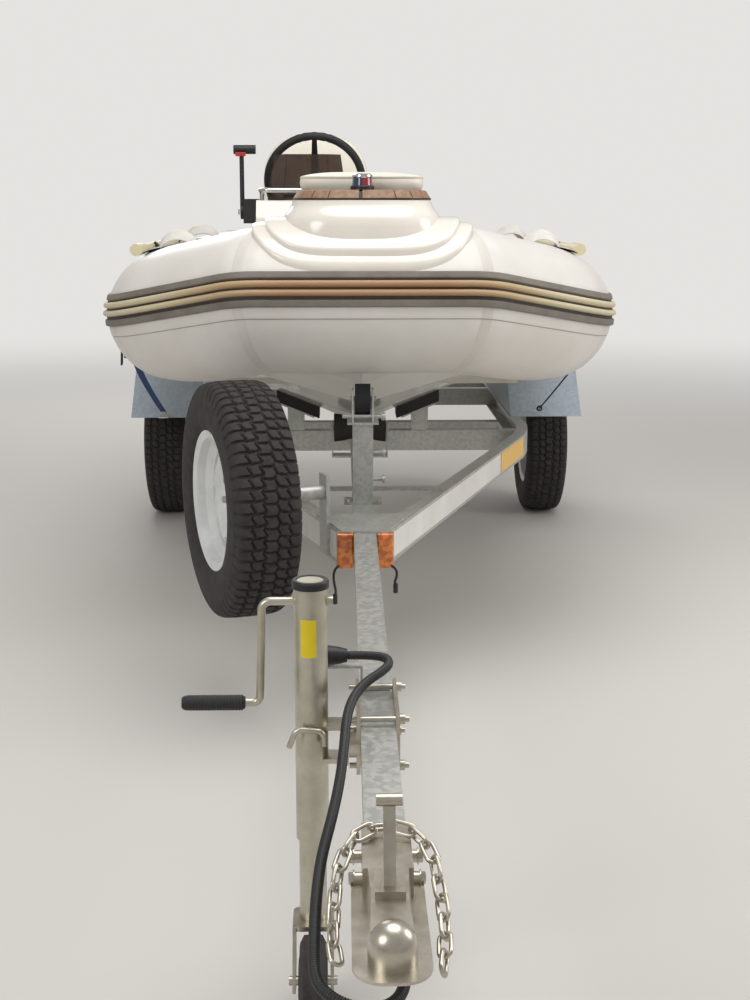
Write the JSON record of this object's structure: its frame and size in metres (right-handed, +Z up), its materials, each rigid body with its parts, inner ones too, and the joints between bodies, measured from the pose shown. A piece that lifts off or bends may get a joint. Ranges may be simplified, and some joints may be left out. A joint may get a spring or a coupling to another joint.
{
  "type": "rigid inflatable boat on road trailer",
  "caption": "Small console-steered rigid inflatable boat with an outboard engine, standing on its galvanised road trailer on a jockey stand.",
  "frame": {"origin": "on the ground under the middle of the outfit", "axes": "+Z up, -Y towards the bow and the coupler, +X to port"},
  "size_m": [1.87, 5.935, 1.676],
  "materials": {
    "collar_fabric": "satin coated fabric",
    "strake_rubber": "matt grey and cream rubber",
    "hull_gelcoat": "gloss gelcoat",
    "deck_gelcoat": "non-slip gelcoat",
    "ivory_gelcoat": "gloss gelcoat",
    "cushion_vinyl": "sewn vinyl",
    "lamp_lens": "clear coloured lens",
    "screen_acrylic": "smoked acrylic",
    "rail_chrome": "polished stainless steel",
    "black_moulding": "moulded black plastic",
    "engine_paint": "gloss paint",
    "cowl_plastic": "gloss cowl",
    "handle_webbing": "moulded strap",
    "oar_plastic": "cream plastic",
    "zinc_steel": "galvanised",
    "guard_steel": "galvanised sheet",
    "wheel_paint": "white paint",
    "road_tyre": "tyre rubber",
    "pad_rubber": "black rubber",
    "winch_strap": "wound strap",
    "amber_lens": "amber lens",
    "red_lens": "red lens",
    "eye_steel": "stainless steel"
  },
  "bodies": {
    "rig": {"tube_bow": "collar_fabric", "tube_port": "collar_fabric", "tube_starboard": "collar_fabric", "rub_strake": "strake_rubber", "hull": "hull_gelcoat", "deck": "deck_gelcoat", "bow_locker": "ivory_gelcoat", "bow_cushion": "cushion_vinyl", "nav_lamp": "lamp_lens", "console": "ivory_gelcoat", "windscreen": "screen_acrylic", "console_rail": "rail_chrome", "engine_control": "black_moulding", "seat_base": "ivory_gelcoat", "seat_cushions": "cushion_vinyl", "engine_bracket": "engine_paint", "grab_handles": "handle_webbing", "oars": "oar_plastic", "oar_clips": "black_moulding", "lift_eyes": "eye_steel", "drawbar": "zinc_steel", "rail_port": "zinc_steel", "rail_starboard": "zinc_steel", "apex_plate": "zinc_steel", "cross_members": "zinc_steel", "axle": "zinc_steel", "mudguards": "guard_steel", "spare_tyre": "road_tyre", "spare_rim": "wheel_paint", "spare_carrier": "zinc_steel", "winch_post": "zinc_steel", "winch_frame": "zinc_steel", "support_rubbers": "pad_rubber", "hull_supports": "zinc_steel", "coupler": "zinc_steel", "safety_chain": "zinc_steel", "jack_bracket": "zinc_steel", "lighting_lead": "black_moulding", "lead_ends": "black_moulding", "plug_rest": "zinc_steel", "marker_lamps": "amber_lens", "rear_lamps": "red_lens"},
    "wheel_port": {"tyre_port": "road_tyre", "rim_port": "wheel_paint", "hub_port": "zinc_steel"},
    "wheel_starboard": {"tyre_starboard": "road_tyre", "rim_starboard": "wheel_paint", "hub_starboard": "zinc_steel"},
    "jack": {"jack_tube": "zinc_steel", "jack_grip": "black_moulding"},
    "jack_inner": {"jack_leg": "zinc_steel"},
    "caster": {"jockey_fork": "zinc_steel"},
    "jockey": {"jockey_wheel": "pad_rubber"},
    "drum": {"winch_drum": "winch_strap"},
    "helm_wheel": {"steering_wheel": "black_moulding"},
    "engine_tilt": {"engine_swivel": "engine_paint"},
    "engine": {"engine_cowl": "cowl_plastic", "engine_leg": "engine_paint"},
    "prop": {"propeller": "engine_paint"}
  },
  "joints": [
    {"name": "road_wheel_port", "type": "hinge", "parent": "rig", "child": "wheel_port", "pos_m": [0.846, 1.8325, 0.32], "axis": [1, 0, 0], "continuous": true},
    {"name": "road_wheel_starboard", "type": "hinge", "parent": "rig", "child": "wheel_starboard", "pos_m": [-0.846, 1.8325, 0.32], "axis": [1, 0, 0], "continuous": true},
    {"name": "jack_swing", "type": "hinge", "parent": "rig", "child": "jack", "pos_m": [-0.05, -2.2125, 0.49], "axis": [1, 0, 0], "range_deg": [0, 90]},
    {"name": "jack_lift", "type": "slide", "parent": "jack", "child": "jack_inner", "axis": [0, 0, 1], "range_m": [0, 0.15]},
    {"name": "jockey_caster", "type": "hinge", "parent": "jack_inner", "child": "caster", "pos_m": [-0.114, -2.2125, 0.16], "axis": [0, 0, 1], "continuous": true},
    {"name": "jockey_roll", "type": "hinge", "parent": "caster", "child": "jockey", "pos_m": [-0.114, -2.2845, 0.076], "axis": [1, 0, 0], "continuous": true},
    {"name": "winch_turn", "type": "hinge", "parent": "rig", "child": "drum", "pos_m": [0, -0.4225, 0.83], "axis": [1, 0, 0], "continuous": true},
    {"name": "outboard_tilt", "type": "hinge", "parent": "rig", "child": "engine_tilt", "pos_m": [0, 2.4655, 1.045], "axis": [1, 0, 0], "range_deg": [0, 65]},
    {"name": "outboard_steer", "type": "hinge", "parent": "engine_tilt", "child": "engine", "pos_m": [0, 2.54, 1], "axis": [0, 0, 1], "range_deg": [-35, 35]},
    {"name": "propeller_spin", "type": "hinge", "parent": "engine", "child": "prop", "pos_m": [0, 2.7225, 0.44], "axis": [0, 1, 0], "continuous": true},
    {"name": "helm_turn", "type": "hinge", "parent": "rig", "child": "helm_wheel", "pos_m": [-0.155, 0.6775, 1.468], "axis": [0, 0.9063, 0.4226], "range_deg": [-540, 540]}
  ],
  "couplings": [
    {"joint": "helm_turn", "follows": "outboard_steer", "ratio": -15.4}
  ]
}
